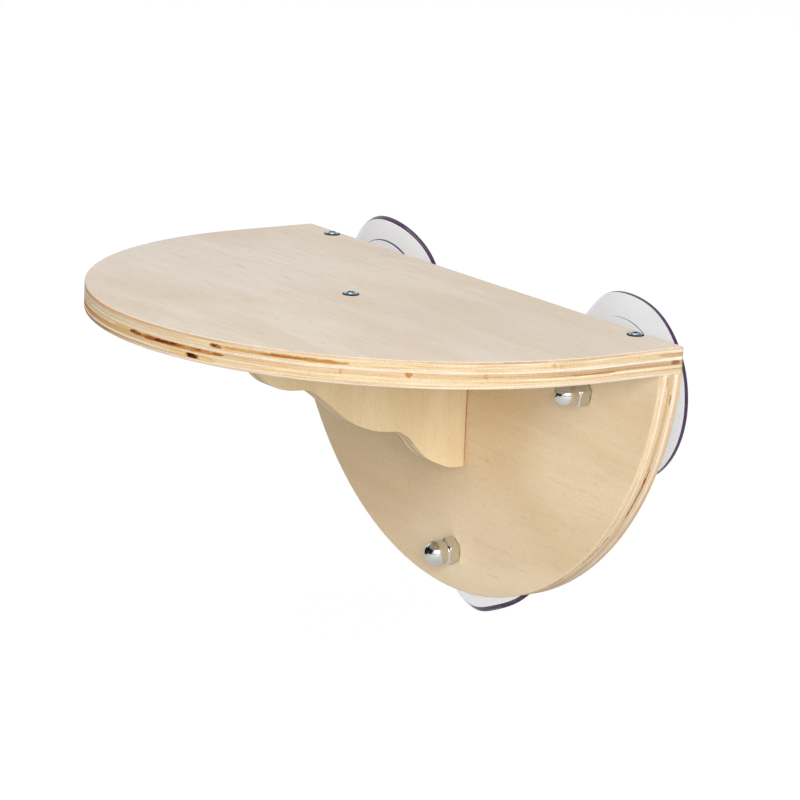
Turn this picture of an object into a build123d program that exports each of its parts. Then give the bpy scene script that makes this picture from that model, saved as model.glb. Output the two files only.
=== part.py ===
from build123d import *
import math
import os

# Window mounted cat perch: a D-shaped plywood shelf on a segment-shaped back plate,
# stiffened by a scalloped bracket and held to a window by three suction cups.
# All sizes are in millimetres. The window pane is the plane Y = 0, the perch stands
# out towards -Y, X = 0 is its middle, Z = 0 is the top of the shelf, and +Z is up.

# Overall sizes
shelf_width = 295.0
shelf_depth = 190.0
frame_height = 145.0
window_gap = 14.0          # from the window pane to the back of the boards

# Boards
shelf_thickness = 12.0
plate_thickness = 12.0
bracket_thickness = 12.0
board_easing = 0.8         # rounding of the sawn edges that hands touch
shelf_corner_radius = 2.0  # back corners of the shelf, seen from above

# Bracket outline
bracket_reach = 123.0      # from the front of the plate to the bracket's tip
bracket_drop = 73.2        # from the underside of the shelf to the bracket's lowest edge
bracket_heel_radius = 1.5  # lower back corner, at the plate

# The bracket's lobes, each as shares of its reach and of its drop along the lower edge
first_lobe_shares = [(0.912, 0.286), (0.868, 0.344), (0.800, 0.380)]
first_lobe_end_shares = (0.722, 0.390)
second_lobe_shares = [(0.662, 0.443), (0.587, 0.545), (0.520, 0.627), (0.432, 0.690)]
second_lobe_end_shares = (0.315, 0.720)
third_lobe_shares = [(0.254, 0.781), (0.209, 0.864), (0.158, 0.933), (0.098, 0.978)]
third_lobe_end_shares = (0.033, 1.0)
lobe_start_slope_share = 0.35
lobe_end_slope_share = 0.06

# Wood screws, all alike
screw_length = 30.0        # under the head
screw_shank_diameter = 3.5
screw_point_length = 5.0
screw_point_flat_diameter = 0.6
screw_washer_diameter = 7.6
screw_washer_height = 0.7
screw_washer_rim_height = 0.4
screw_boss_diameter = 5.2
screw_boss_height = 0.5
screw_recess_span = 3.0
screw_recess_width = 0.8
screw_recess_depth = 0.9
screw_hole_clearance = 0.03

# Places of the screws
side_screw_inset = 27.5        # from each end of the shelf
bracket_screw_setback = 75.0   # from the back edge of the shelf
rear_screw_drops = {"upper": 32.0, "lower": 62.0}  # below the top of the shelf

# Suction cups, all alike
cup_diameter = 84.0
cup_lip_thickness = 2.2
cup_cavity_depth = 5.4
cup_lip_land = 1.0         # flat width of the lip that seals on the pane
cup_disc_diameter = 64.0   # the thick middle of the cup
cup_disc_step = 0.8        # height of the thick middle's edge over the skirt
cup_skirt_height = 6.0     # from the pane to the skirt at the thick middle
cup_shoulder_height = 8.4  # from the pane to the thick middle at the hub
cup_hub_diameter = 30.0
cup_hub_fillet = 1.2

# Studs, all alike
stud_diameter = 8.0
stud_head_diameter = 20.0
stud_head_thickness = 2.4
stud_head_cover = 1.8      # soft plastic between the cup's cavity and the stud's head
stud_end_chamfer = 1.0
stud_hole_clearance = 0.5  # around the stud, in the plate
nut_engagement = 9.5       # length of stud inside the nut

# Cap nuts, all alike
nut_width = 12.0           # across the flats
nut_hexagon_height = 6.0
nut_chamfer_height = 0.9
nut_dome_diameter = 11.6
nut_height = 15.0
nut_thread_clearance = 0.06
nut_bore_end_gap = 0.7     # from the end of the stud to the end of the bore
nut_bore_mouth_chamfer = 0.6

# Degrees from level to the first corner of each tightened nut
nut_rest_turns = {"left": 20.0, "right": 16.0, "bottom": 26.0}

# Places of the suction cups
upper_cup_inset = 54.75    # from each end of the shelf to the middle of its cup
upper_cup_drop = 31.0      # below the top of the shelf
lower_cup_rise = 18.0      # above the lowest edge of the back plate

# Extra length of every tool that cuts past a face
overrun = 2.0

# Planes that the boards share
back_of_boards = -window_gap
front_of_plate = back_of_boards - plate_thickness
under_shelf = -shelf_thickness
shelf_radius = shelf_width / 2
plate_radius = shelf_width / 2
plate_centre_height = plate_radius - frame_height

# The screws bite at the middle of the boards' thickness
side_screw_depth = back_of_boards - plate_thickness / 2
bracket_screw_depth = back_of_boards - bracket_screw_setback

upper_cup_side = shelf_width / 2 - upper_cup_inset
cup_places = {
    "left": (-upper_cup_side, -upper_cup_drop),
    "right": (upper_cup_side, -upper_cup_drop),
    "bottom": (0, lower_cup_rise - frame_height),
}


def cylinder_along_y(diameter, start, end, place):
    """A round bar along Y, from the plane Y = start to the plane Y = end."""
    x, z = place
    circle = Plane(origin=(x, start, z), z_dir=(0, -1, 0)) * Circle(diameter / 2)
    return extrude(circle, start - end)


def turned_along_y(points, place):
    """A solid of revolution about a line along Y, from (radius, height off the pane)."""
    x, z = place
    outline = make_face(Polyline([(radius, -height, 0) for radius, height in points], close=True))
    return Pos(x, 0, z) * revolve(outline, Axis.Y)


def cap_depth(radius, depth, distance):
    """How far a shallow spherical cap lies off its rim plane, at a distance from its axis."""
    ball = (radius ** 2 + depth ** 2) / (2 * depth)
    return math.sqrt(ball ** 2 - distance ** 2) - (ball - depth)


def screw_tool(gap):
    """The shank and point of a wood screw, from its head down, widened by a gap all round."""
    shank_radius = screw_shank_diameter / 2 + gap
    flat_radius = screw_point_flat_diameter / 2 + gap
    shank_end = -(screw_length - screw_point_length)
    points = [(0, 0), (shank_radius, 0), (shank_radius, shank_end)]
    points += [(flat_radius, -screw_length - gap), (0, -screw_length - gap)]
    outline = make_face(Polyline([(x, 0, z) for x, z in points], close=True))
    return revolve(outline, Axis.Z)


def screw_head():
    """A washer flange with a raised boss and a cross recess, resting on Z = 0."""
    washer_radius = screw_washer_diameter / 2
    boss_radius = screw_boss_diameter / 2
    head_height = screw_washer_height + screw_boss_height
    crown_rise = screw_boss_height / 2
    boss_edge = head_height - crown_rise
    crown_middle = boss_radius / 2
    crown_height = boss_edge + cap_depth(boss_radius, crown_rise, crown_middle)
    washer = Line((0, 0, 0), (washer_radius, 0, 0))
    rim = Line((washer_radius, 0, 0), (washer_radius, 0, screw_washer_rim_height))
    slope = Line((washer_radius, 0, screw_washer_rim_height), (boss_radius, 0, screw_washer_height))
    side = Line((boss_radius, 0, screw_washer_height), (boss_radius, 0, boss_edge))
    crown = ThreePointArc(
        (boss_radius, 0, boss_edge), (crown_middle, 0, crown_height), (0, 0, head_height)
    )
    axis = Line((0, 0, head_height), (0, 0, 0))
    head = revolve(make_face(washer + rim + slope + side + crown + axis), Axis.Z)
    recess_floor = head_height - screw_recess_depth
    lift = recess_floor + (screw_recess_depth + overrun) / 2
    arm = Box(screw_recess_span, screw_recess_width, screw_recess_depth + overrun)
    for turn in (0, 90):
        head -= Pos(0, 0, lift) * Rot(0, 0, turn) * arm
    return head


def placed_down(shape, x, y):
    """Set a screw or its hole upright with its head on the top of the shelf."""
    return Pos(x, y, 0) * shape


def placed_forward(shape, drop):
    """Lay a screw or its hole along -Y with its head on the back of the plate."""
    return Pos(0, back_of_boards, -drop) * Rot(-90, 0, 0) * shape


def top_screw_places():
    """The places of the three screws that go down through the shelf."""
    side = shelf_width / 2 - side_screw_inset
    return {
        "shelf_screw_left": (-side, side_screw_depth),
        "shelf_screw_right": (side, side_screw_depth),
        "shelf_screw_bracket": (0, bracket_screw_depth),
    }


def screw_holes():
    """Every screw hole in the boards, as one group of cutting tools."""
    tool = screw_tool(screw_hole_clearance)
    holes = [placed_down(tool, x, y) for x, y in top_screw_places().values()]
    holes += [placed_forward(tool, drop) for drop in rear_screw_drops.values()]
    return holes


def shelf():
    """The D-shaped board: straight at the back, half round at the front."""
    side_end = back_of_boards - (shelf_depth - shelf_radius)
    back = Line((shelf_radius, back_of_boards), (-shelf_radius, back_of_boards))
    left = Line((-shelf_radius, back_of_boards), (-shelf_radius, side_end))
    front = ThreePointArc(
        (-shelf_radius, side_end), (0, back_of_boards - shelf_depth), (shelf_radius, side_end)
    )
    right = Line((shelf_radius, side_end), (shelf_radius, back_of_boards))
    board = extrude(make_face(back + left + front + right), -shelf_thickness)
    corners = board.edges().filter_by(Axis.Z).group_by(Axis.Y)[-1]
    board = fillet(corners, shelf_corner_radius)
    rims = board.faces().filter_by(Axis.Z).edges()
    board = fillet(rims, board_easing)
    for hole in screw_holes():
        board -= hole
    return board


def back_plate():
    """The segment-shaped board that stands on its round edge under the shelf."""
    top_offset = under_shelf - plate_centre_height
    half_chord = math.sqrt(plate_radius ** 2 - top_offset ** 2)
    chord = Line((-half_chord, 0, under_shelf), (half_chord, 0, under_shelf))
    lower = ThreePointArc(
        (half_chord, 0, under_shelf), (0, 0, -frame_height), (-half_chord, 0, under_shelf)
    )
    outline = Pos(0, back_of_boards, 0) * make_face(chord + lower)
    board = extrude(outline, plate_thickness, dir=(0, -1, 0))
    faces = board.faces().filter_by(Axis.Y)
    round_edges = faces.edges().filter_by(GeomType.CIRCLE)
    board = fillet(round_edges, board_easing)
    hole_diameter = stud_diameter + 2 * stud_hole_clearance
    for place in cup_places.values():
        bore_start = back_of_boards + overrun
        bore_end = front_of_plate - overrun
        board -= cylinder_along_y(hole_diameter, bore_start, bore_end, place)
    for hole in screw_holes():
        board -= hole
    return board


def bracket_point(shares):
    """A point of the bracket's outline, from shares of its reach and its drop."""
    reach_share, drop_share = shares
    return (0, front_of_plate - bracket_reach * reach_share, under_shelf - bracket_drop * drop_share)


def lobe(start, shares_between, end, start_direction, end_direction):
    """One smooth lobe of the bracket's lower edge, through points between its two ends."""
    between = [bracket_point(shares) for shares in shares_between]
    return Spline([start, *between, end], tangents=[start_direction, end_direction])


def bracket():
    """The scalloped board between the plate and the shelf: three lobes step up to its tip."""
    tip = bracket_point((1, 0))
    first_end = bracket_point(first_lobe_end_shares)
    second_end = bracket_point(second_lobe_end_shares)
    third_end = bracket_point(third_lobe_end_shares)
    heel = bracket_point((0, 1))
    corner = bracket_point((0, 0))
    straight_down = (0, 0, -1)
    setting_off = (0, 1, -lobe_start_slope_share)
    running_out = (0, 1, -lobe_end_slope_share)
    level = (0, 1, 0)
    first = lobe(tip, first_lobe_shares, first_end, straight_down, running_out)
    second = lobe(first_end, second_lobe_shares, second_end, setting_off, running_out)
    third = lobe(second_end, third_lobe_shares, third_end, setting_off, level)
    foot = Line(third_end, heel)
    back = Line(heel, corner)
    top = Line(corner, tip)
    face = make_face(first + second + third + foot + back + top)
    board = extrude(face, bracket_thickness / 2, dir=(1, 0, 0), both=True)
    heel_edge = board.edges().filter_by(Axis.X).sort_by_distance(heel)[0]
    board = fillet(heel_edge, bracket_heel_radius)
    for hole in screw_holes():
        board -= hole
    return board


def wood_screw():
    """A whole wood screw, upright, with the underside of its head at Z = 0."""
    return screw_tool(0) + screw_head()


def suction_cup(place):
    """A clear cup: a thin skirt round a thicker disc, with a hub that meets the plate."""
    x, z = place
    lip_radius = cup_diameter / 2
    cavity_radius = lip_radius - cup_lip_land
    disc_radius = cup_disc_diameter / 2
    hub_radius = cup_hub_diameter / 2
    disc_edge = cup_skirt_height + cup_disc_step
    cavity_top = (0, -cup_cavity_depth, 0)
    cavity_rim = (cavity_radius, 0, 0)
    middle = cavity_radius / 2
    cavity_middle = (middle, -cap_depth(cavity_radius, cup_cavity_depth, middle), 0)
    cavity = ThreePointArc(cavity_top, cavity_middle, cavity_rim)
    outer = Polyline(
        cavity_rim,
        (lip_radius, 0, 0),
        (lip_radius, -cup_lip_thickness, 0),
        (disc_radius, -cup_skirt_height, 0),
        (disc_radius, -disc_edge, 0),
        (hub_radius, -cup_shoulder_height, 0),
        (hub_radius, back_of_boards, 0),
        (0, back_of_boards, 0),
        cavity_top,
    )
    cup = revolve(make_face(cavity + outer), Axis.Y)
    hub_edges = cup.edges().filter_by(GeomType.CIRCLE).sort_by(Axis.Y)[0]
    cup = fillet(hub_edges, cup_hub_fillet)
    cup = Pos(x, 0, z) * cup
    return cup - stud(place)


def stud_head_base():
    """The height of the stud's head off the pane."""
    return cup_cavity_depth + stud_head_cover


def stud(place):
    """A threaded stud with a disc head, from inside the cup's hub to inside the cap nut."""
    head_base = stud_head_base()
    head_top = head_base + stud_head_thickness
    stud_end = -front_of_plate + nut_engagement
    head_radius = stud_head_diameter / 2
    radius = stud_diameter / 2
    points = [
        (0, head_base),
        (head_radius, head_base),
        (head_radius, head_top),
        (radius, head_top),
        (radius, stud_end - stud_end_chamfer),
        (radius - stud_end_chamfer, stud_end),
        (0, stud_end),
    ]
    return turned_along_y(points, place)


def cap_nut(place, turn):
    """A hexagon nut with a domed cap, turned tight onto the front of the plate."""
    x, z = place
    corner_radius = nut_width / math.sqrt(3)
    seat = Plane(origin=(x, front_of_plate, z), x_dir=(1, 0, 0), z_dir=(0, -1, 0))
    hexagon = seat * extrude(RegularPolygon(corner_radius, 6, rotation=turn), nut_hexagon_height)
    flat_radius = nut_width / 2
    base = -front_of_plate
    hexagon_top = base + nut_hexagon_height
    limits = turned_along_y(
        [
            (0, base),
            (flat_radius, base),
            (corner_radius, base + (corner_radius - flat_radius) / 2),
            (corner_radius, hexagon_top - nut_chamfer_height),
            (nut_dome_diameter / 2, hexagon_top),
            (0, hexagon_top),
        ],
        place,
    )
    hexagon = hexagon & limits
    dome_radius = nut_dome_diameter / 2
    dome_start = -(base + nut_height - dome_radius)
    barrel = cylinder_along_y(nut_dome_diameter, front_of_plate, dome_start, place)
    ball = Pos(x, dome_start, z) * Sphere(dome_radius)
    bore_radius = stud_diameter / 2 + nut_thread_clearance
    bore_end = base + nut_engagement + nut_bore_end_gap
    bore = turned_along_y(
        [
            (0, base - overrun),
            (bore_radius + nut_bore_mouth_chamfer, base - overrun),
            (bore_radius + nut_bore_mouth_chamfer, base),
            (bore_radius, base + nut_bore_mouth_chamfer),
            (bore_radius, bore_end),
            (0, bore_end),
        ],
        place,
    )
    return hexagon + barrel + ball - bore


def perch():
    """Every piece of the perch by its node name."""
    pieces = {"shelf": shelf(), "back_plate": back_plate(), "bracket": bracket()}
    for name, (x, y) in top_screw_places().items():
        pieces[name] = placed_down(wood_screw(), x, y)
    for name, drop in rear_screw_drops.items():
        pieces["bracket_screw_" + name] = placed_forward(wood_screw(), drop)
    for name, place in cup_places.items():
        pieces["suction_cup_" + name] = suction_cup(place)
        pieces["stud_" + name] = stud(place)
        pieces["cap_nut_" + name] = cap_nut(place, nut_rest_turns[name])
    return pieces


os.makedirs("parts", exist_ok=True)
for name, shape in perch().items():
    shape.label = name
    export_step(shape, "parts/" + name + ".step")
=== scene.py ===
import math

import bpy
from mathutils import Matrix, Vector


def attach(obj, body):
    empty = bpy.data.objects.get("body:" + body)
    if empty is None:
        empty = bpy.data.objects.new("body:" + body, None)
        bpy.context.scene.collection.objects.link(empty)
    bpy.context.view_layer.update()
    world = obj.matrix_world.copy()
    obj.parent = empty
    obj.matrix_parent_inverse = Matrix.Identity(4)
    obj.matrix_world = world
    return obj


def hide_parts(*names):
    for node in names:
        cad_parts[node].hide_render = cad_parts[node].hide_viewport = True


# The dressed window perch: plywood boards with procedural plies and grain, clear vinyl
# cups with violet edges, threaded studs, nickel cap nuts and zinc wood screws.
# Objects are in metres; lengths in this file are in millimetres unless a name says metres.

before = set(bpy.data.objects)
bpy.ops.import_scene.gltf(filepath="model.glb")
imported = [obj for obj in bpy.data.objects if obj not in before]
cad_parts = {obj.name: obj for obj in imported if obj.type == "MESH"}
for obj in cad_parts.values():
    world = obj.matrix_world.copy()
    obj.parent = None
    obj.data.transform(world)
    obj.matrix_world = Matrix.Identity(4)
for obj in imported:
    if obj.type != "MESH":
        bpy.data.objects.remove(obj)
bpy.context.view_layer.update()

MM = 0.001
CUPS = {"left": (-92.75, -31.0), "right": (92.75, -31.0), "bottom": (0.0, -127.0)}
NUT_TURNS = {"left": 20.0, "right": 16.0, "bottom": 26.0}   # degrees
SHELF_SCREWS = {           # place on the shelf's top, and the cross recess's turn in degrees
    "shelf_screw_left": (-120.0, -20.0, 20),
    "shelf_screw_right": (120.0, -20.0, 35),
    "shelf_screw_bracket": (0.0, -89.0, 5),
}
BRACKET_SCREWS = {"upper": -32.0, "lower": -62.0}   # heights on the plate's back
BACK_OF_BOARDS = -14.0
FRONT_OF_PLATE = -26.0
BOARD_THICKNESS = 12.0
EDGE_RADIUS = 147.5        # of the shelf's round front and of the plate's round edge
SHELF_CENTRE_Y = -56.5
PLATE_CENTRE_Z = 2.5


def screen(red, green, blue):
    """A linear colour from screen values out of 255."""
    shares = [value / 255 for value in (red, green, blue)]
    linear = [s / 12.92 if s <= 0.04045 else ((s + 0.055) / 1.055) ** 2.4 for s in shares]
    return (*linear, 1.0)


def smooth_share(value, low, high):
    """0 below low, 1 above high, and a smooth step between."""
    share = min(max((value - low) / (high - low), 0.0), 1.0)
    return share * share * (3 - 2 * share)


class Shader:
    """A material with short calls for the nodes used here."""

    def __init__(self, name):
        self.material = bpy.data.materials.new(name)
        self.material.use_nodes = True
        self.tree = self.material.node_tree
        self.surface = self.tree.nodes["Principled BSDF"]

    def add(self, kind, **settings):
        node = self.tree.nodes.new("ShaderNode" + kind)
        for key, value in settings.items():
            setattr(node, key, value)
        return node

    def put(self, socket, value):
        if isinstance(value, bpy.types.NodeSocket):
            self.tree.links.new(value, socket)
        else:
            socket.default_value = value

    def set(self, name, value):
        self.put(self.surface.inputs[name], value)

    def math(self, operation, *values):
        node = self.add("Math", operation=operation)
        for socket, value in zip(node.inputs, values):
            self.put(socket, value)
        return node.outputs[0]

    def from_axis(self, x, y):
        """Distance from the local Z axis."""
        squares = self.math("ADD", self.math("POWER", x, 2.0), self.math("POWER", y, 2.0))
        return self.math("SQRT", squares)

    def off_middle(self, value, middle, half_size, power):
        """0 at the middle and 1 at the half size to either side of it, raised to a power."""
        off = self.math("MULTIPLY", self.math("SUBTRACT", value, middle), 1 / half_size)
        return self.math("POWER", self.math("ABSOLUTE", off), power)

    def millimetres(self):
        """The place on the object, as three outputs in millimetres."""
        place = self.add("TexCoord").outputs["Object"]
        scaled = self.add("VectorMath", operation="SCALE")
        self.put(scaled.inputs[0], place)
        self.put(scaled.inputs["Scale"], 1 / MM)
        return self.add_linked("SeparateXYZ", scaled.outputs[0]).outputs

    def add_linked(self, kind, value):
        node = self.add(kind)
        self.put(node.inputs[0], value)
        return node

    def scaled(self, values, scales):
        """One vector from three values, each times its own scale."""
        node = self.add("CombineXYZ")
        for socket, value, scale in zip(node.inputs, values, scales):
            self.put(socket, self.math("MULTIPLY", value, scale))
        return node.outputs[0]

    def noise(self, vector, detail=2.0, roughness=0.5, distortion=0.0):
        node = self.add("TexNoise")
        self.put(node.inputs["Vector"], vector)
        self.put(node.inputs["Scale"], 1.0)
        self.put(node.inputs["Detail"], detail)
        self.put(node.inputs["Roughness"], roughness)
        self.put(node.inputs["Distortion"], distortion)
        return node.outputs["Fac"]

    def range(self, value, low, high, to_low=0.0, to_high=1.0, kind="SMOOTHSTEP"):
        node = self.add("MapRange", interpolation_type=kind)
        for socket, number in zip(node.inputs, (value, low, high, to_low, to_high)):
            self.put(socket, number)
        return node.outputs[0]

    def mix(self, share, first, second, blend="MIX"):
        node = self.add("Mix", data_type="RGBA", blend_type=blend)
        self.put(node.inputs[0], share)
        self.put(node.inputs[6], first)
        self.put(node.inputs[7], second)
        return node.outputs[2]

    def ramp(self, value, stops):
        node = self.add("ValToRGB")
        self.put(node.inputs[0], value)
        elements = node.color_ramp.elements
        elements.remove(elements[1])
        elements[0].position, elements[0].color = stops[0]
        for place, tone in stops[1:]:
            elements.new(place).color = tone
        return node.outputs["Color"]

    def bump(self, height, depth, strength=1.0):
        """Relief of that depth in millimetres."""
        node = self.add("Bump")
        self.put(node.inputs["Strength"], strength)
        self.put(node.inputs["Distance"], depth * MM)
        self.put(node.inputs["Height"], height)
        self.set("Normal", node.outputs[0])


# Plywood

# Depth at which each ply ends, and its tone on the sawn edge, from the good face down.
# The shelf's edge cuts the plies at a turning angle, so its tones change along it.
SHELF_LEFT_PLIES = [
    (0.40, screen(248, 230, 202)),
    (1.80, screen(228, 180, 134)),
    (2.20, screen(238, 202, 160)),
    (3.35, screen(252, 243, 220)),
    (3.95, screen(233, 198, 160)),
    (5.00, screen(250, 236, 204)),
    (5.70, screen(236, 200, 160)),
    (6.90, screen(248, 228, 188)),
    (9.05, screen(220, 168, 112)),
    (10.2, screen(252, 243, 220)),
    (11.2, screen(220, 164, 116)),
    (12.0, screen(250, 234, 210)),
]
SHELF_FRONT_PLIES = [
    (0.35, screen(198, 184, 166)),
    (1.05, screen(213, 185, 148)),
    (2.10, screen(224, 206, 174)),
    (3.90, screen(219, 195, 154)),
    (5.40, screen(226, 211, 186)),
    (7.55, screen(211, 182, 143)),
    (8.50, screen(225, 208, 174)),
    (9.40, screen(217, 191, 149)),
    (10.4, screen(223, 201, 167)),
    (10.8, screen(218, 195, 158)),
    (12.0, screen(229, 213, 189)),
]
SHELF_RIGHT_PLIES = [
    (0.35, screen(208, 193, 172)),
    (1.00, screen(212, 187, 149)),
    (1.95, screen(235, 218, 191)),
    (4.00, screen(220, 196, 155)),
    (5.50, screen(236, 225, 204)),
    (7.60, screen(196, 163, 125)),
    (8.80, screen(232, 214, 178)),
    (9.40, screen(215, 189, 149)),
    (10.6, screen(220, 196, 157)),
    (12.0, screen(238, 226, 205)),
]
BOARD_PLIES = [
    (0.60, screen(226, 202, 164)),
    (1.80, screen(234, 208, 168)),
    (3.10, screen(246, 230, 206)),
    (4.20, screen(231, 206, 170)),
    (5.30, screen(226, 200, 162)),
    (6.70, screen(214, 184, 144)),
    (8.20, screen(231, 208, 176)),
    (9.60, screen(244, 230, 208)),
    (10.2, screen(232, 210, 180)),
    (12.0, screen(224, 196, 154)),
]
DARK_FIBRE = (0.66, 0.50, 0.34, 1.0)   # tints of a ply's own tone
PALE_FIBRE = (1.08, 1.20, 1.42, 1.0)
PLY_BLEND = 0.06           # to each side of where two plies meet
GLUE_DEPTHS = [0.5, 2.2, 4.05, 5.35, 7.7, 8.9, 10.3, 11.2]
GLUE_HALF_WIDTH = 0.13

# Gaps, knots and streaks in the sawn edges: where each starts and ends along the edge,
# its depth at those ends, its half width, its tone and how strongly it shows
GAP = screen(138, 66, 10)
KNOT = screen(94, 32, 2)
RESIN = screen(206, 122, 30)
AMBER = screen(228, 180, 92)
STREAK = screen(172, 112, 46)
SHELF_MARKS = [
    (-62, -18, 10.9, 11.0, 0.28, STREAK, 0.7),
    (-14, 1, 6.6, 6.8, 0.8, AMBER, 0.8),
    (0, 60, 6.5, 6.6, 0.8, STREAK, 0.9),
    (0.5, 9, 6.3, 6.4, 0.75, GAP, 1.0),
    (11, 36, 6.9, 6.3, 0.8, screen(156, 84, 20), 1.0),
    (18, 33, 6.8, 6.2, 0.5, KNOT, 0.9),
    (44, 48, 6.3, 6.3, 0.45, GAP, 0.9),
    (54, 59, 6.6, 6.7, 0.5, GAP, 0.7),
    (53, 66, 2.7, 3.0, 0.8, screen(212, 160, 84), 0.9),
    (52, 58.5, 2.7, 2.9, 0.85, screen(150, 78, 14), 0.95),
    (53, 55.5, 2.7, 2.8, 0.5, KNOT, 0.8),
    (28, 41, 9.2, 9.5, 0.9, AMBER, 0.55),
    (43, 54, 9.8, 10.0, 0.8, AMBER, 0.55),
    (38.6, 46.4, 9.4, 9.7, 1.05, RESIN, 0.8),
    (39.4, 45.6, 9.4, 9.7, 0.85, KNOT, 1.0),
    (40.2, 44.8, 9.3, 9.5, 0.7, screen(24, 4, 0), 1.0),
    (60, 117, 2.7, 2.85, 0.75, screen(190, 140, 78), 0.9),
    (76, 117, 2.85, 2.9, 0.5, STREAK, 0.75),
    (78, 98, 2.7, 2.8, 0.26, GAP, 0.7),
    (141.3, 143.7, 6.35, 6.35, 0.95, screen(188, 112, 44), 0.95),
    (113.2, 114.2, 6.4, 6.4, 1.1, screen(214, 158, 92), 0.8),
    (174.6, 175.6, 6.3, 6.3, 1.1, screen(214, 158, 92), 0.8),
    (214, 237, 7.5, 7.55, 0.26, STREAK, 0.9),
    (182, 203, 0.5, 0.5, 0.16, STREAK, 0.6),
    (205, 206.6, 2.8, 2.8, 0.7, screen(220, 162, 92), 0.7),
    (208.6, 210, 3.1, 3.1, 0.8, screen(220, 162, 92), 0.7),
    (260, 273, 2.9, 3.0, 0.7, STREAK, 0.4),
    (266.5, 270.5, 6.4, 6.4, 0.8, GAP, 0.7),
]
PLATE_MARKS = [
    (141, 171, 5.8, 6.2, 0.28, GAP, 0.95),
    (162.5, 165.5, 6.0, 6.0, 0.6, GAP, 0.9),
    (103, 129, 2.0, 3.3, 0.3, GAP, 0.85),
    (77, 88, 1.4, 2.0, 0.3, STREAK, 0.8),
    (203, 208, 7.3, 7.3, 0.4, STREAK, 0.8),
    (212, 216, 4.2, 4.2, 0.35, STREAK, 0.7),
]
BRACKET_MARKS = [
    (-66, -55, 0.9, 1.4, 0.5, GAP, 0.95),
    (-58, -53, 10.4, 10.6, 0.7, RESIN, 0.8),
]

# Faint spots on the faces, and on the plate and bracket also patches of painted light and shade: place
# along and across the grain, half sizes, tone, strength
SHELF_SPOTS = [
    (92, -62, 90, 60, screen(216, 202, 184), 0.4),
    (-84, -112, 85, 60, screen(240, 234, 228), 0.4),
    (-72.3, -102.2, 5, 0.9, screen(208, 164, 124), 0.4),
    (-42.8, -95.7, 6, 0.8, screen(210, 168, 130), 0.35),
]
PLATE_SPOTS_AND_PAINTED_LIGHT = [
    # Painted shade: the plate's left part, darker where the bracket shades it
    (-62, -84, 75, 62, screen(202, 176, 138), 0.5),
    # Painted shade: warmer and darker under the shelf, right of the bracket
    (33, -38, 30, 48, screen(216, 180, 120), 0.4),
    # Painted light: paler low down, round and right of the bottom nut
    (24, -122, 60, 34, screen(240, 222, 194), 0.35),
    # Painted light: paler towards the right
    (100, -62, 40, 60, screen(240, 220, 188), 0.3),
    (24.0, -78.5, 1.6, 1.1, screen(190, 156, 118), 0.32),
]
BRACKET_GLUE_AND_SHADE_LINE = [
    # A brown line along the bracket's joint with the plate: a glue line, with painted contact shadow
    (-48.0, -26.0, 60, 0.65, screen(170, 102, 28), 1.0),
]


def ply_stops(plies):
    """Ramp stops that step from ply to ply with a narrow blend."""
    stops = [(0.0, plies[0][1])]
    for (end, tone), (_, following) in zip(plies, plies[1:]):
        stops.append(((end - PLY_BLEND) / BOARD_THICKNESS, tone))
        stops.append(((end + PLY_BLEND) / BOARD_THICKNESS, following))
    return stops


def glue_stops(depths):
    """Ramp stops that are white on the glue lines and black elsewhere."""
    stops = [(0.0, (0, 0, 0, 1))]
    for depth in depths:
        for offset, level in ((-GLUE_HALF_WIDTH, 0), (0.0, 1), (GLUE_HALF_WIDTH, 0)):
            stops.append(((depth + offset) / BOARD_THICKNESS, (level, level, level, 1)))
    return stops


def mark_mask(shader, along, depth, ends, end_depths, half_width):
    """1 inside one mark of a sawn edge, with soft ends."""
    start, end = ends
    reach = shader.off_middle(along, (start + end) / 2, (end - start) / 2, 6.0)
    line = shader.range(along, start, end, *end_depths, "LINEAR")
    off = shader.off_middle(depth, line, half_width, 2.0)
    return shader.range(shader.math("ADD", reach, off), 1.12, 0.8)


def spot_mask(shader, grain, across, place, half_sizes, strength):
    """The strength in the middle of one spot of a face, fading to 0."""
    grain_off = shader.off_middle(grain, place[0], half_sizes[0], 2.0)
    across_off = shader.off_middle(across, place[1], half_sizes[1], 2.0)
    return shader.range(shader.math("ADD", grain_off, across_off), 1.3, 0.1, 0.0, strength)


def edge_angle(shader, across, down):
    """Length along a round edge, from the middle of its front towards +X."""
    return shader.math("MULTIPLY", shader.math("ARCTAN2", across, down), EDGE_RADIUS)


def board_edge(shader, share, along):
    """The plies of the plate and the bracket, alike all along."""
    return shader.ramp(share, ply_stops(BOARD_PLIES))


def shelf_edge(shader, share, along):
    """The shelf's plies: brown at the left, yellow in front, crisp right, plain behind."""
    left = shader.ramp(share, ply_stops(SHELF_LEFT_PLIES))
    front = shader.ramp(share, ply_stops(SHELF_FRONT_PLIES))
    right = shader.ramp(share, ply_stops(SHELF_RIGHT_PLIES))
    tone = shader.mix(shader.range(along, -60, 60), left, front)
    tone = shader.mix(shader.range(along, 165, 235), tone, right)
    behind = shader.range(shader.math("ABSOLUTE", along), 276, 282)
    return shader.mix(behind, tone, board_edge(shader, share, along))


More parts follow.
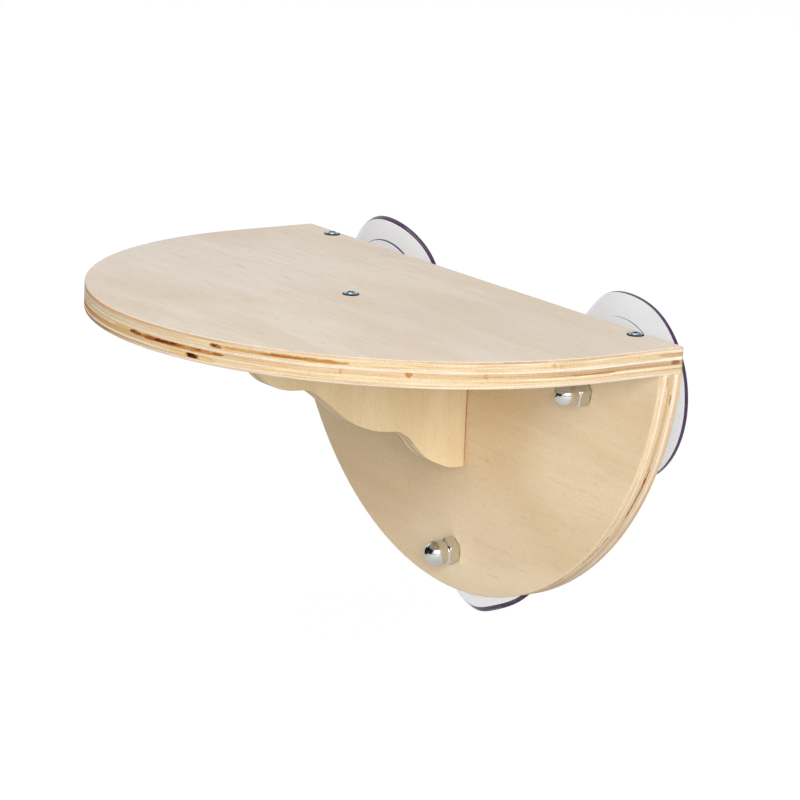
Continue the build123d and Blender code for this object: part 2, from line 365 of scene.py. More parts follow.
def sawn_edge(shader, place, along, edge_of, marks):
    """The sawn edge's tone, where it is a pit, and its relief."""
    depth = place[2]

    # The plies wander a little along the edge, but not where they meet the faces
    wander = shader.noise(shader.scaled(place, (0.018, 0.018, 0.1)), 2.0)
    wander = shader.range(wander, 0.3, 0.7, -0.22, 0.22, "LINEAR")
    inner = shader.math("MULTIPLY", shader.range(depth, 0.3, 1.4), shader.range(depth, 11.7, 10.6))
    wavy = shader.math("ADD", depth, shader.math("MULTIPLY", wander, inner))
    share = shader.math("DIVIDE", wavy, BOARD_THICKNESS)
    edge = edge_of(shader, share, along)

    # Each kind of fibre darkens the plies at one end of its noise and pales them at the other
    lines = shader.noise(shader.scaled(place, (0.012, 0.012, 1.5)), 2.0, 0.6)
    fibres = shader.noise(shader.scaled(place, (0.05, 0.05, 2.6)), 3.0, 0.7)
    pores = shader.noise(shader.scaled(place, (1.1, 1.1, 3.4)), 3.0, 0.65)
    for noise, dark_range, dark_share, pale_range, pale_share in (
        (lines, (0.5, 0.66), 0.4, (0.48, 0.34), 0.4),
        (fibres, (0.47, 0.68), 0.5, (0.46, 0.3), 0.45),
        (pores, (0.5, 0.7), 0.5, (0.48, 0.3), 0.3),
    ):
        dark = shader.range(noise, *dark_range, 0.0, dark_share)
        edge = shader.mix(dark, edge, DARK_FIBRE, "MULTIPLY")
        pale = shader.range(noise, *pale_range, 0.0, pale_share)
        edge = shader.mix(pale, edge, PALE_FIBRE, "MULTIPLY")
    glue = shader.ramp(share, glue_stops(GLUE_DEPTHS))
    broken = shader.noise(shader.scaled(place, (0.05, 0.05, 0.9)), 3.0, 0.6)
    glue = shader.math("MULTIPLY", glue, shader.range(broken, 0.42, 0.6, 0.05, 0.5))
    edge = shader.mix(glue, edge, screen(180, 126, 74))

    # Gaps and knots, with ragged outlines
    ragged = shader.noise(shader.scaled(place, (0.36, 0.36, 1.0)), 4.0, 0.7)
    torn = shader.math("ADD", wavy, shader.range(ragged, 0.3, 0.7, -0.22, 0.22, "LINEAR"))
    slipped = shader.noise(shader.scaled(place, (0.7, 0.7, 1.6)), 3.0, 0.7)
    slipped = shader.math("ADD", along, shader.range(slipped, 0.3, 0.7, -0.9, 0.9, "LINEAR"))
    pit = 0.0
    for start, end, start_depth, end_depth, half_width, tone, strength in marks:
        ends, end_depths = (start, end), (start_depth, end_depth)
        mask = mark_mask(shader, slipped, torn, ends, end_depths, half_width)
        patchy = shader.range(ragged, 0.36, 0.5, strength * 0.6, strength)
        edge = shader.mix(shader.math("MULTIPLY", mask, patchy), edge, tone)
        pit = shader.math("MAXIMUM", pit, mask)

    # Open fibres, and the gaps sunk in
    relief = shader.math("MULTIPLY", fibres, 0.6)
    relief = shader.math("ADD", relief, shader.math("MULTIPLY", pores, -0.4))
    relief = shader.math("SUBTRACT", relief, shader.math("MULTIPLY", pit, 1.2))
    return edge, pit, relief


def veneer(shader, place, grain, tones, spots, grain_share):
    """The face veneer's tone and relief: broad figure, long grain, short fibres, fine pores."""
    pale, warm, grain_line, brown = tones
    figure = shader.noise(shader.scaled(place, (0.008, 0.035, 0.035)), 4.0, 0.6, 0.6)
    grain_lines = shader.noise(shader.scaled(place, (0.016, 0.38, 0.38)), 4.0, 0.7)
    short_fibres = shader.noise(shader.scaled(place, (0.085, 0.62, 0.62)), 3.0, 0.65)
    fine_pores = shader.noise(shader.scaled(place, (0.4, 2.6, 2.6)), 3.0, 0.7)
    face = shader.mix(shader.range(figure, 0.35, 0.65), pale, warm)
    # Spots, and for the plate and bracket also patches of painted light and shade
    for spot_grain, spot_across, half_grain, half_across, tone, strength in spots:
        middle, half_sizes = (spot_grain, spot_across), (half_grain, half_across)
        mask = spot_mask(shader, grain, place[1], middle, half_sizes, strength)
        face = shader.mix(mask, face, tone)
    dark_grain = shader.range(grain_lines, 0.5, 0.74, 0.0, 0.5 * grain_share)
    face = shader.mix(dark_grain, face, grain_line)
    fleck = shader.range(short_fibres, 0.56, 0.74, 0.0, 0.55 * grain_share)
    face = shader.mix(fleck, face, brown)
    face = shader.mix(shader.range(fine_pores, 0.5, 0.72, 0.0, 0.28), face, brown)
    pale_pores = shader.range(fine_pores, 0.48, 0.28, 0.0, 0.35)
    face = shader.mix(pale_pores, face, screen(244, 232, 212))
    relief = shader.math("MULTIPLY", fine_pores, -0.25)
    relief = shader.math("ADD", relief, shader.math("MULTIPLY", grain_lines, 0.35))
    return face, relief


def plywood(name, frame_of, tones, edge_of, marks, spots, grain_share, seed=0.0):
    """Plywood: a veneer face with long grain, and sawn edges that show the plies.

    frame_of gives, from the place, the values along the face grain, across it, down
    through the plies, and along the sawn edge. edge_of gives the plies' tones there.
    """
    shader = Shader(name)
    grain, across, depth, along = frame_of(shader)
    place = (shader.math("ADD", grain, seed), across, depth)
    edge, pit, edge_relief = sawn_edge(shader, place, along, edge_of, marks)
    face, face_relief = veneer(shader, place, grain, tones, spots, grain_share)

    # The face shows within a third of a millimetre of the board's two faces
    front, back = shader.range(depth, 0.32, 0.12), shader.range(depth, 11.68, 11.88)
    on_face = shader.math("MAXIMUM", front, back)
    shader.set("Base Color", shader.mix(on_face, edge, face))
    rough = shader.range(on_face, 0.0, 1.0, 0.7, 0.6, "LINEAR")
    shader.set("Roughness", shader.math("ADD", rough, shader.math("MULTIPLY", pit, 0.25)))
    shader.set("Specular IOR Level", 0.1)
    shader.bump(shader.mix(on_face, edge_relief, face_relief), 0.16)
    return shader.material


def shelf_frame(shader):
    """Grain along X, plies downward, and the round front's length."""
    x, y, z = shader.millimetres()
    down = shader.math("MULTIPLY", z, -1.0)
    forward = shader.math("SUBTRACT", SHELF_CENTRE_Y, y)
    return x, y, down, edge_angle(shader, x, forward)


def plate_frame(shader):
    """Grain along X, plies from front to back, and the round edge's length."""
    x, y, z = shader.millimetres()
    depth = shader.math("SUBTRACT", y, FRONT_OF_PLATE)
    down = shader.math("SUBTRACT", PLATE_CENTRE_Z, z)
    return x, z, depth, edge_angle(shader, x, down)


def bracket_frame(shader):
    """Grain upward, plies from right to left, and the edge's length along Y."""
    x, y, z = shader.millimetres()
    depth = shader.math("SUBTRACT", BOARD_THICKNESS / 2, x)
    return z, y, depth, y


# Tones of a veneer face: pale, warm, grain line, brown fibre. The boards are one plywood; the shelf's
# paler, greyer tones are a painted sheen of light grazing its top.
SHELF_FACE_WITH_SHEEN = (
    screen(236, 225, 210), screen(229, 213, 194), screen(222, 196, 172), screen(220, 180, 152)
)
PLATE_FACE = (
    screen(233, 212, 179), screen(224, 199, 162), screen(210, 177, 134), screen(200, 162, 118)
)
BRACKET_FACE = (
    screen(229, 210, 172), screen(220, 197, 156), screen(206, 174, 128), screen(196, 160, 113)
)


# Metals and plastic

def nickel():
    """Bright plated cap nuts with specks, and painted contact shade at the foot."""
    shader = Shader("bright_nickel")
    x, y, z = shader.millimetres()
    clouds = shader.noise(shader.scaled((x, y, z), (0.5, 0.5, 0.5)), 3.0, 0.6)
    marks = shader.noise(shader.scaled((x, y, z), (2.2, 2.2, 9.0)), 2.0, 0.6)
    specks = shader.noise(shader.scaled((x, y, z), (1.7, 1.7, 1.7)), 3.0, 0.65)
    tone = shader.mix(clouds, screen(206, 207, 202), screen(222, 222, 216))
    tone = shader.mix(shader.range(specks, 0.5, 0.7, 0.0, 0.5), tone, screen(160, 156, 146))
    # Painted contact shade: dark brown at the foot, where the nut meets the plate
    foot = shader.range(z, 0.5, 0.25)
    shader.set("Base Color", shader.mix(foot, tone, screen(96, 80, 62)))
    shader.set("Metallic", 1.0)
    shader.set("Roughness", shader.range(marks, 0.3, 0.8, 0.07, 0.2, "LINEAR"))
    shader.bump(specks, 0.02, 0.7)
    return shader.material


def zinc():
    """Bluish zinc plating, with painted shade in a screw's cross recess and round its lower rim."""
    shader = Shader("bright_zinc")
    x, y, z = shader.millimetres()
    grains = shader.noise(shader.scaled((x, y, z), (3.0, 3.0, 3.0)), 3.0, 0.6)
    reach = shader.from_axis(x, y)
    across, along = shader.math("ABSOLUTE", x), shader.math("ABSOLUTE", y)
    longer, shorter = shader.math("MAXIMUM", across, along), shader.math("MINIMUM", across, along)
    past_end, past_side = shader.math("SUBTRACT", longer, 1.9), shader.math("SUBTRACT", shorter, 0.62)
    arm = shader.math("MAXIMUM", past_end, past_side)
    head = shader.range(z, 3.0, 2.0)
    # Painted shade: near black in the cross recess
    sunk = shader.math("MULTIPLY", shader.range(arm, 0.1, -0.02), shader.range(z, -0.5, 0.0))
    sunk = shader.math("MULTIPLY", sunk, head)
    flange = shader.math("MULTIPLY", shader.range(reach, 2.5, 2.7), head)
    tone = shader.mix(flange, screen(160, 184, 196), screen(112, 136, 148))
    tone = shader.mix(shader.range(grains, 0.4, 0.7, 0.0, 0.35), tone, screen(112, 132, 144))
    tone = shader.mix(sunk, tone, screen(10, 22, 32))
    # Painted shade: a dark band round the flange's lower rim, where it meets the wood
    rim = shader.math("MULTIPLY", shader.range(reach, 3.2, 3.45), shader.range(z, 0.62, 0.5))
    tone = shader.mix(rim, tone, screen(14, 12, 10))
    # Where shade is painted the plating loses its metal shine and turns rough, so it stays dark
    painted_shade = shader.math("MAXIMUM", rim, shader.math("MULTIPLY", sunk, 0.8))
    shader.set("Base Color", tone)
    shader.set("Metallic", shader.math("SUBTRACT", 1.0, painted_shade))
    rough = shader.range(grains, 0.3, 0.7, 0.12, 0.24, "LINEAR")
    shader.set("Roughness", shader.math("ADD", rough, shader.math("MULTIPLY", painted_shade, 0.7)))
    shader.set("Specular IOR Level", 0.2)
    shader.bump(grains, 0.02)
    return shader.material


def clear_vinyl(name, tone, deep_tone, opacity, one_sided=False):
    """Clear plastic as it looks over a pale ground: a thin grey film, or its violet edge.

    The violet shows where the edge faces outward, and only faintly through the cup.
    """
    shader = Shader(name)
    x, y, z = shader.millimetres()
    clouds = shader.noise(shader.scaled((x, y, z), (0.06, 0.06, 0.3)), 3.0, 0.6)
    flow = shader.noise(shader.scaled((x, y, z), (0.5, 0.5, 2.0)), 2.0, 0.5)
    shader.set("Base Color", shader.mix(clouds, tone, deep_tone))
    cover = shader.range(flow, 0.3, 0.7, opacity * 0.97, opacity * 1.03, "LINEAR")
    if one_sided:
        behind = shader.math("MULTIPLY", shader.add("NewGeometry").outputs["Backfacing"], 0.8)
        cover = shader.math("MULTIPLY", cover, shader.math("SUBTRACT", 1.0, behind))
        shader.material.use_backface_culling = True
    shader.set("Alpha", cover)
    shader.set("Roughness", shader.range(flow, 0.3, 0.7, 0.10, 0.17, "LINEAR"))
    shader.set("IOR", 1.52)
    shader.set("Specular IOR Level", 0.35 if one_sided else 0.5)
    shader.bump(flow, 0.05, 0.5)
    return shader.material


# Mesh helpers

def mesh_piece(name, points, faces, materials, face_slots=None):
    """A smooth-shaded object from points in millimetres."""
    mesh = bpy.data.meshes.new(name)
    mesh.from_pydata([Vector(point) * MM for point in points], [], faces)
    for material in materials:
        mesh.materials.append(material)
    if face_slots:
        mesh.polygons.foreach_set("material_index", face_slots)
    mesh.polygons.foreach_set("use_smooth", [True] * len(mesh.polygons))
    mesh.update()
    piece = bpy.data.objects.new(name, mesh)
    bpy.context.scene.collection.objects.link(piece)
    return piece


def ring_surface(name, rings, materials, ring_slots=None):
    """A closed skin over rings of points; the first and last rings are single points."""
    points, faces, slots = [], [], []
    starts = []
    for ring in rings:
        starts.append(len(points))
        points += ring
    for index, (lower, upper) in enumerate(zip(rings, rings[1:])):
        slot = ring_slots[index] if ring_slots else 0
        count = max(len(lower), len(upper))
        for step in range(count):
            after = (step + 1) % count
            corners = []
            if len(lower) > 1:
                corners += [starts[index] + step, starts[index] + after]
            else:
                corners += [starts[index]]
            if len(upper) > 1:
                corners += [starts[index + 1] + after, starts[index + 1] + step]
            else:
                corners += [starts[index + 1]]
            faces.append(corners)
            slots.append(slot)
    return mesh_piece(name, points, faces, materials, slots)


def turns_round(segments):
    """Even angles once round an axis, in radians."""
    return [2 * math.pi * step / segments for step in range(segments)]


def ring_point(radius, turn, height):
    return (radius * math.cos(turn), radius * math.sin(turn), height)


def turned_rings(profile, segments):
    """Rings of points round local Z from (radius, height) pairs; radius 0 is one point."""
    rings = []
    for radius, height in profile:
        turns = turns_round(segments) if radius else [0.0]
        rings.append([ring_point(radius, turn, height) for turn in turns])
    return rings


def thread_rings(radius, depth, pitch, start, end, segments, rows_per_turn):
    """Rings of a helical thread between two heights."""
    run_out = 0.8
    rows = round((end - start) / pitch * rows_per_turn)
    rings = []
    for row in range(rows + 1):
        height = start + (end - start) * row / rows
        fade = smooth_share(height, start, start + run_out)
        fade *= smooth_share(height, end, end - run_out)
        ring = []
        for step, turn in enumerate(turns_round(segments)):
            phase = (height / pitch - step / segments) % 1.0
            groove = 1 - smooth_share(abs(2 * phase - 1), 0.12, 0.88)
            reach = radius - depth * (groove * fade + 1 - fade)
            ring.append(ring_point(reach, turn, height))
        rings.append(ring)
    return rings


def stand_at(piece, place, turn):
    """Turns a piece and sets it at a place in millimetres."""
    piece.matrix_world = Matrix.Translation(Vector(place) * MM) @ turn


def facing_room(piece, x, y, z):
    """Sets a piece made round local Z so that it points along -Y from that place."""
    stand_at(piece, (x, y, z), Matrix.Rotation(math.pi / 2, 4, "X"))


def dress(piece, node, body):
    """The piece stands for a CAD node, which it hides, and rides on its body."""
    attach(piece, body)
    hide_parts(node)


# Suction cups

CUP_RADIUS = 42.0
CUP_SEGMENTS = 144
DISH_RADIUS, DISH_DEPTH = 41.0, 5.4   # the hollow on the pane's side
STEP_RADIUS = 32.0                    # of the thick middle, inside the soft lip
HUB_RADIUS, HUB_TOP = 15.0, 14.0
LIP_MIDDLE = 1.1                      # height of the rim's own middle off the pane


def cap_depth(radius, depth, distance):
    """How far a shallow spherical cap lies off its rim plane, at a distance from its axis."""
    ball = (radius ** 2 + depth ** 2) / (2 * depth)
    return math.sqrt(ball ** 2 - distance ** 2) - (ball - depth)


def cup_profile(wide):
    """(radius, height off the pane, shows its violet edge) round a cup's section.

    wide is 1 where the violet runs on over the eased corners of the edge, and 0 elsewhere.
    """
    profile = [(0, DISH_DEPTH, 0)]
    for step in range(1, 15):
        radius = DISH_RADIUS * step / 14
        profile.append((radius, cap_depth(DISH_RADIUS, DISH_DEPTH, radius), 0))
    profile += [(41.6, 0.0, 0), (41.88, 0.12, 1), (CUP_RADIUS, 0.4, 1), (CUP_RADIUS, 1.1, 1)]
    profile += [(CUP_RADIUS, 1.8, 1), (41.88, 2.08, 1), (41.6, 2.25, wide)]
    for radius in (40, 38, 36, 34, 33, 32.5):
        profile.append((radius, 6.0 - (radius - STEP_RADIUS) * 0.38, 0))
    profile += [(32.15, 5.97, wide), (32.02, 6.1, 1), (STEP_RADIUS, 6.35, 1), (31.96, 6.62, 1)]
    profile += [(31.7, 6.8, wide), (31.2, 6.88, 0)]
    for radius in (29, 26, 23, 20, 18, 16.6):
        profile.append((radius, 8.4 - (radius - HUB_RADIUS) * 0.0941, 0))
    profile += [(15.7, 8.45, 0), (15.2, 8.8, 0)]
    profile += [(HUB_RADIUS, height, 0) for height in (9.4, 11.0, 12.8)]
    profile += [(14.84, 13.4, 0), (14.4, 13.84, 0)]
    profile += [(radius, HUB_TOP, 0) for radius in (13.8, 9.0, 4.4)]
    profile += [(4.1, 13.8, 0), (4.05, 9.7, 0), (10.05, 9.65, 0), (10.05, 7.15, 0), (0, 7.15, 0)]
    return profile


# How each cup's soft lip is bent: the middle of the bend, in radians round the cup from its
# lowest point towards +X; how far it spreads to each side and how steeply; the radius at
# which it starts; how far it comes inward and forward; and how far the rim turns up
LIP_BENDS = {
    "left": (3.2, 1.06, 2.3, 28, -0.9, 5.4, 0.63),
    "right": (3.31, 0.73, 2.88, 28, -1.0, 3.2, 0.17),
    "bottom": (0.377, 1.739, 2.52, 17, 12.35, 6.87, 1.4),
}


def bend_lip(rings, side):
    """Leans part of a cup's lip forward, as soft plastic hangs."""
    middle, spread, steepness, start, inward, forward, turn_up = LIP_BENDS[side]
    bent = []
    for ring in rings:
        moved = []
        for x, y, height in ring:
            radius, angle = math.hypot(x, y), math.atan2(x, -y)
            off = ((angle - middle + math.pi) % (2 * math.pi) - math.pi) / spread
            share = math.cos(math.pi / 2 * off) ** steepness if abs(off) < 1 else 0.0
            shift = share * smooth_share(radius, start, CUP_RADIUS)
            tilt = turn_up * share * smooth_share(radius, 30, CUP_RADIUS)
            centre = LIP_MIDDLE + (CUP_RADIUS - radius) * 0.27
            out = radius - inward * shift - (height - centre) * math.sin(tilt)
            lift = centre + forward * shift + (height - centre) * math.cos(tilt)
            moved.append((out * math.sin(angle), -out * math.cos(angle), lift))
        bent.append(moved)
    return bent


def make_cups(clear, thin, edge):
    """Three cups: the violet edge is wider at the left and at the bottom."""
    for side, (x, z) in CUPS.items():
        profile = cup_profile(0 if side == "right" else 1)
        slots = [min(near[2], far[2]) for near, far in zip(profile, profile[1:])]
        rings = turned_rings([(radius, height) for radius, height, _ in profile], CUP_SEGMENTS)
        body = thin if side == "bottom" else clear
        cup = ring_surface("cup_" + side, bend_lip(rings, side), [body, edge], slots)
        facing_room(cup, x, 0, z)
        dress(cup, "suction_cup_" + side, "cup_" + side)


# Studs, nuts and screws

STUD_RADIUS, STUD_PITCH = 4.0, 1.25
STUD_SEGMENTS = 48


def make_studs(metal):
    """Threaded studs with a disc head, which the cup's hub holds."""
    head = [(0, 7.2), (9.8, 7.2), (10.0, 7.4), (10.0, 9.4), (9.8, 9.6), (3.4, 9.6)]
    for side, (x, z) in CUPS.items():
        rings = turned_rings(head, STUD_SEGMENTS)
        rings += thread_rings(STUD_RADIUS, 0.62, STUD_PITCH, 9.62, 34.9, STUD_SEGMENTS, 12)
        rings += turned_rings([(3.0, 35.5), (0, 35.5)], STUD_SEGMENTS)
        stud = ring_surface("threaded_stud_" + side, rings, [metal])
        facing_room(stud, x, 0, z)
        dress(stud, "stud_" + side, "cup_" + side)


NUT_HALF_FLATS = 6.0
NUT_HALF_CORNERS = 6.93
NUT_HEX_TOP = 5.1          # where the upper chamfer starts
NUT_SEGMENTS = 144
DOME_RADIUS, DOME_MIDDLE = 5.8, 9.2


def soft_least(values, radius):
    """The least of some lengths, with its corners rounded over about a radius."""
    least = values[0]
    for value in values[1:]:
        overlap = max(radius - abs(least - value), 0.0) / radius
        least = min(least, value) - overlap * overlap * radius / 4
    return least


def nut_radius(turn, height):
    """Distance from the nut's axis to its hexagon, chamfered above and below."""
    middles = [math.radians(30 + 60 * side) for side in range(6)]
    flats = [NUT_HALF_FLATS / max(math.cos(turn - middle), 0.05) for middle in middles]
    upper = NUT_HALF_CORNERS - (height - NUT_HEX_TOP) * 1.13 / 0.9
    lower = NUT_HALF_FLATS + height * 2
    return soft_least([soft_least(sorted(flats)[:2], 0.25), upper, lower], 0.22)


def nut_rings(segments):
    """A cap nut from the end of its bore down to its foot, up its hexagon and over its dome."""
    rings = turned_rings([(0, 10.2), (4.06, 10.2), (4.06, 0.6), (4.66, 0.0), (5.6, 0.0)], segments)
    turns = turns_round(segments)
    heights = [0.02, 0.15, 0.3, 0.5, 0.8, 1.5, 2.5, 3.5, 4.3, 4.8, 5.0]
    heights += [NUT_HEX_TOP + 0.09 * step for step in range(11)]
    for height in heights:
        least = DOME_RADIUS if height > 1 else 0
        rings.append([ring_point(max(nut_radius(turn, height), least), turn, height) for turn in turns])
    profile = [(5.74, 6.06), (5.74, 6.2)]
    profile += [(DOME_RADIUS, height) for height in (6.3, 7.6, 8.9)]
    for step in range(1, 18):
        angle = math.radians(5 * step)
        radius, rise = DOME_RADIUS * math.cos(angle), DOME_RADIUS * math.sin(angle)
        profile.append((radius, DOME_MIDDLE + rise))
    profile.append((0, DOME_MIDDLE + DOME_RADIUS))
    return rings + turned_rings(profile, segments)


def make_nuts(metal):
    """Cap nuts, each tightened to its own turn."""
    for side, (x, z) in CUPS.items():
        nut = ring_surface("nickel_nut_" + side, nut_rings(NUT_SEGMENTS), [metal])
        facing_room(nut, x, FRONT_OF_PLATE, z)
        nut.matrix_world = nut.matrix_world @ Matrix.Rotation(math.radians(NUT_TURNS[side]), 4, "Z")
        dress(nut, "cap_nut_" + side, "nut_" + side)


SCREW_SEGMENTS = 72
SHANK_RADIUS = 1.75
SHANK_END, POINT_END = -25.0, -29.9
BOSS_RADIUS = 2.4
BOSS_RINGS = 24
RECESS_REACH, RECESS_HALF_WIDTH = 1.5, 0.4


def screw_height(radius, turn):
    """Height of a screw's boss, with its cross recess."""
    crown = 1.06 + 0.14 * (1 - (radius / BOSS_RADIUS) ** 2)
    x, y = abs(radius * math.cos(turn)), abs(radius * math.sin(turn))
    along_x = max(x - RECESS_REACH, y - RECESS_HALF_WIDTH)
    along_y = max(x - RECESS_HALF_WIDTH, y - RECESS_REACH)
    return crown - (crown - 0.3) * smooth_share(min(along_x, along_y), 0.06, -0.14)


def screw_rings(segments):
    """A wood screw from its point up its thread, round its flange and over its boss."""
    rings = turned_rings([(0, -30.0), (0.3, POINT_END)], segments)
    tip = [(0.3 + 1.0 * step / 6, POINT_END + 4.9 * step / 6) for step in range(1, 6)]
    rings += turned_rings(tip, segments)
    rings += thread_rings(SHANK_RADIUS, 0.45, 1.6, SHANK_END, -0.4, segments, 8)
    flange = [(SHANK_RADIUS, 0), (3.7, 0), (3.8, 0.08), (3.8, 0.38), (3.7, 0.47)]
    rings += turned_rings(flange, segments)
    shoulder = [(3.2, 0.56), (2.78, 0.62), (2.66, 0.65), (2.6, 0.72), (2.49, 1.02)]
    rings += turned_rings(shoulder, segments)
    for step in range(BOSS_RINGS):
        radius = BOSS_RADIUS * (1 - step / BOSS_RINGS)
        turns = turns_round(segments)
        rings.append([ring_point(radius, turn, screw_height(radius, turn)) for turn in turns])
    return rings + [[(0, 0, screw_height(0, 0))]]


def make_screws(metal):
    """Three screws down through the shelf, and two through the plate's back."""
    for node, (x, y, degrees) in SHELF_SCREWS.items():
        screw = ring_surface("zinc_" + node, screw_rings(SCREW_SEGMENTS), [metal])
        stand_at(screw, (x, y, 0), Matrix.Rotation(math.radians(degrees), 4, "Z"))
        dress(screw, node, "frame")
    for name, z in BRACKET_SCREWS.items():
        screw = ring_surface("zinc_bracket_screw_" + name, screw_rings(SCREW_SEGMENTS), [metal])
        stand_at(screw, (0, BACK_OF_BOARDS, z), Matrix.Rotation(-math.pi / 2, 4, "X"))
        dress(screw, "bracket_screw_" + name, "frame")


# Boards

def ease_edges(node, width):
    """Joins a board's flat faces and rounds its sawn corners."""
    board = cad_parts[node]
    join = board.modifiers.new("join flat faces", "DECIMATE")
    join.decimate_type = "DISSOLVE"
    join.angle_limit = math.radians(0.5)
    ease = board.modifiers.new("eased corners", "BEVEL")
    ease.width = width * MM
    ease.segments = 3
    ease.limit_method = "ANGLE"
    ease.angle_limit = math.radians(40)
    ease.harden_normals = True


def paint(node, material):
    """Gives a CAD node that material alone."""
    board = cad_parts[node]
    board.data.materials.clear()
    board.data.materials.append(material)


def make_boards():
    """The three boards, each a CAD solid with its own plywood."""
    shelf = plywood(
        "plywood_shelf", shelf_frame, SHELF_FACE_WITH_SHEEN, shelf_edge, SHELF_MARKS, SHELF_SPOTS,
        grain_share=1.1,
    )
    plate = plywood(
        "plywood_plate", plate_frame, PLATE_FACE, board_edge, PLATE_MARKS, PLATE_SPOTS_AND_PAINTED_LIGHT,
        grain_share=0.6, seed=431,
    )
    bracket = plywood(
        "plywood_bracket", bracket_frame, BRACKET_FACE, board_edge, BRACKET_MARKS, BRACKET_GLUE_AND_SHADE_LINE,
        grain_share=0.4, seed=77,
    )
    paint("shelf", shelf)
    paint("back_plate", plate)
    paint("bracket", bracket)
    ease_edges("bracket", 0.6)


# Stage

FLOOR_HEIGHT, FLOOR_REACH = -420, 6000
LAMPS_AIM = Vector((0, -0.08, -0.05))   # metres
CARDS_AIM = Vector((0, -0.03, -0.08))   # metres


def rectangle(name, half_width, half_height, z, material):
    """A flat piece across local Z."""
    w, h = half_width, half_height
    corners = [(-w, -h, z), (w, -h, z), (w, h, z), (-w, h, z)]
    return mesh_piece(name, corners, [(0, 1, 2, 3)], [material])


def floor_material():
    """A pale floor that keeps a faint shadow and is otherwise as white as the backdrop."""
    shader = Shader("pale_floor")
    shader.set("Base Color", (0.62, 0.62, 0.62, 1))
    shader.set("Roughness", 0.9)
    shader.set("Specular IOR Level", 0.0)
    paths = shader.add("LightPath")
    seen = shader.math("MAXIMUM", paths.outputs["Is Camera Ray"], paths.outputs["Is Transmission Ray"])
    seen = shader.math("ADD", seen, shader.math("MULTIPLY", paths.outputs["Is Glossy Ray"], 0.4))
    shader.set("Emission Color", (1, 1, 1, 1))
    x, y, _ = shader.millimetres()
    level = shader.range(shader.from_axis(x, y), 500, 2200, 0.62, 0.8)
    shader.set("Emission Strength", shader.math("MULTIPLY", seen, level))
    return shader.material


def make_floor():
    floor = rectangle("floor", FLOOR_REACH, FLOOR_REACH, FLOOR_HEIGHT, floor_material())


def make_world(ambient):
    """White where it is seen, and an even pale grey where it only lights."""
    world = bpy.data.worlds.new("studio")
    bpy.context.scene.world = world
    world.use_nodes = True
    nodes, links = world.node_tree.nodes, world.node_tree.links
    paths = nodes.new("ShaderNodeLightPath")
    seen = paths.outputs["Is Camera Ray"]
    for ray in ("Is Glossy Ray", "Is Transmission Ray"):
        either = nodes.new("ShaderNodeMath")
        either.operation = "MAXIMUM"
        links.new(seen, either.inputs[0])
        links.new(paths.outputs[ray], either.inputs[1])
        seen = either.outputs[0]
    strength = nodes.new("ShaderNodeMapRange")
    strength.inputs["To Min"].default_value = ambient
    strength.inputs["To Max"].default_value = 1.0
    links.new(seen, strength.inputs["Value"])
    background = nodes["Background"]
    background.inputs["Color"].default_value = (1, 1, 1, 1)
    links.new(strength.outputs[0], background.inputs["Strength"])


def direction(azimuth, elevation):
    """A unit vector towards a place round the object: 0 is in front of it, 90 to its right."""
    a, e = math.radians(azimuth), math.radians(elevation)
    return Vector((math.sin(a) * math.cos(e), -math.cos(a) * math.cos(e), math.sin(e)))


def soft_box(name, azimuth, elevation, distance_metres, size_metres, level):
    """A flat lamp aimed at the perch; level 1 alone lights a facing white board to white."""
    lamp = bpy.data.lights.new(name, "AREA")
    lamp.shape = "RECTANGLE"
    lamp.size, lamp.size_y = size_metres
    lamp.energy = level * math.pi ** 2 * distance_metres ** 2
    holder = bpy.data.objects.new(name, lamp)
    bpy.context.scene.collection.objects.link(holder)
    towards = direction(azimuth, elevation)
    holder.location = LAMPS_AIM + towards * distance_metres
    holder.rotation_mode = "QUATERNION"
    holder.rotation_quaternion = towards.to_track_quat("Z", "Y")


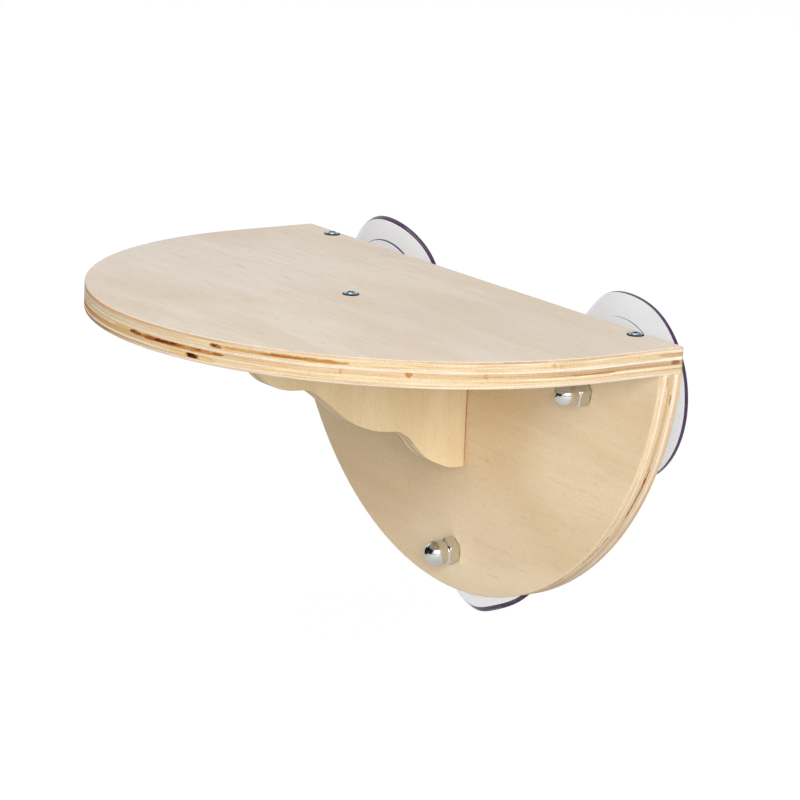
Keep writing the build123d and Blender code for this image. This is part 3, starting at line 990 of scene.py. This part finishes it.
def make_camera():
    """The photograph's view: from the right and a little above, with a long lens."""
    azimuth, elevation, roll = 0.961374893, 0.234185611, 0.0444504274   # radians
    place_metres = (1.4749266, -1.0891220, 0.3773085)
    focal_pixels, picture_pixels, sensor_width = 4052.1, 800, 36
    back = direction(math.degrees(azimuth), math.degrees(elevation))
    right = Vector((math.cos(azimuth), math.sin(azimuth), 0))
    up = back.cross(right)
    turned_right = right * math.cos(roll) + up * math.sin(roll)
    turned_up = up * math.cos(roll) - right * math.sin(roll)
    axes = Matrix((turned_right, turned_up, back)).transposed().to_4x4()
    lens = bpy.data.cameras.new("camera")
    lens.lens = focal_pixels / picture_pixels * sensor_width
    lens.sensor_width = sensor_width
    lens.clip_start, lens.clip_end = 0.05, 50
    camera = bpy.data.objects.new("camera", lens)
    bpy.context.scene.collection.objects.link(camera)
    camera.matrix_world = Matrix.Translation(place_metres) @ axes
    bpy.context.scene.camera = camera


def flag(name, azimuth, elevation, distance_metres, width, height, level):
    """A dark card that only shines back from glossy things, as studio cards do."""
    shader = Shader(name)
    shader.set("Base Color", (0, 0, 0, 1))
    shader.set("Roughness", 1.0)
    shader.set("Specular IOR Level", 0.0)
    shader.set("Emission Color", (1, 1, 1, 1))
    shader.set("Emission Strength", level)
    card = rectangle(name, width / 2, height / 2, 0, shader.material)
    towards = direction(azimuth, elevation)
    turn = towards.to_track_quat("Z", "Y").to_matrix().to_4x4()
    card.matrix_world = Matrix.Translation(towards * distance_metres + CARDS_AIM) @ turn
    card.visible_camera = False
    card.visible_diffuse = False
    card.visible_transmission = False
    card.visible_shadow = False


def make_stage():
    """Floor, world, lamps and cards; each lamp and card is given by its name, azimuth,
    elevation, distance, size and level."""
    make_floor()
    make_world(0.28)
    soft_box("key", 65, 18, 2.2, (1.5, 1.0), 0.96)
    soft_box("top", 20, 78, 2.0, (1.4, 1.4), 0.38)
    soft_box("front_fill", -15, 6, 2.4, (1.2, 1.0), 0.12)
    flag("dark_card", -20, 22, 0.9, 1500, 1150, 0.01)
    flag("grey_card", 150, 30, 1.2, 1500, 1200, 0.45)
    flag("left_card", -60, -6, 0.9, 800, 620, 0.01)


bright_zinc = zinc()
make_boards()
make_cups(
    clear_vinyl("clear_vinyl", screen(190, 190, 192), screen(182, 182, 185), 0.285),
    clear_vinyl("clear_vinyl_thin", screen(192, 192, 193), screen(184, 184, 186), 0.2),
    clear_vinyl("clear_vinyl_edge", screen(60, 22, 76), screen(42, 13, 56), 0.97, True),
)
make_studs(bright_zinc)
make_nuts(nickel())
make_screws(bright_zinc)
make_stage()
make_camera()
bpy.context.scene.view_settings.view_transform = "Standard"
